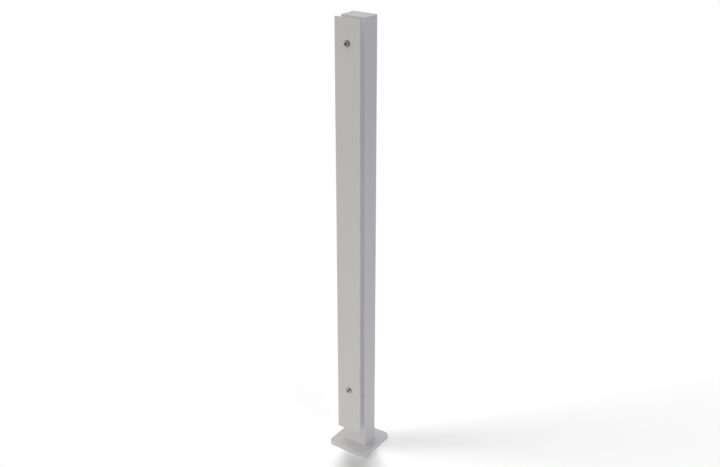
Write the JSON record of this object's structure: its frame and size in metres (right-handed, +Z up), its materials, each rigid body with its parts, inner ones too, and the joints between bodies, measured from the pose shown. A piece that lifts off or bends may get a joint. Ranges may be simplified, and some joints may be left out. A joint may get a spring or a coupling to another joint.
{
  "type": "newel post",
  "caption": "Metal balustrade newel post: hollow rectangular post on a square base plate, with a flat clamp bar screwed to its front so that a panel's edge fits in the slot between.",
  "frame": {"origin": "centre of the base plate's underside, on the floor", "axes": "+Z up along the post, +X to the right along the post's wide side, +Y towards the back; the clamp bar and its screws face -Y"},
  "size_m": [0.102, 0.102, 1],
  "materials": {
    "satin_metal": "satin natural-anodised, very fine and even, no visible grain",
    "screw_metal": "smooth bright stainless steel, darker and glossier than the post"
  },
  "bodies": {
    "root": {"base_plate": "satin_metal", "post_tube": "satin_metal", "top_cap": "satin_metal", "clamp_bar": "satin_metal", "upper_screw": "screw_metal", "lower_screw": "screw_metal"}
  },
  "joints": []
}
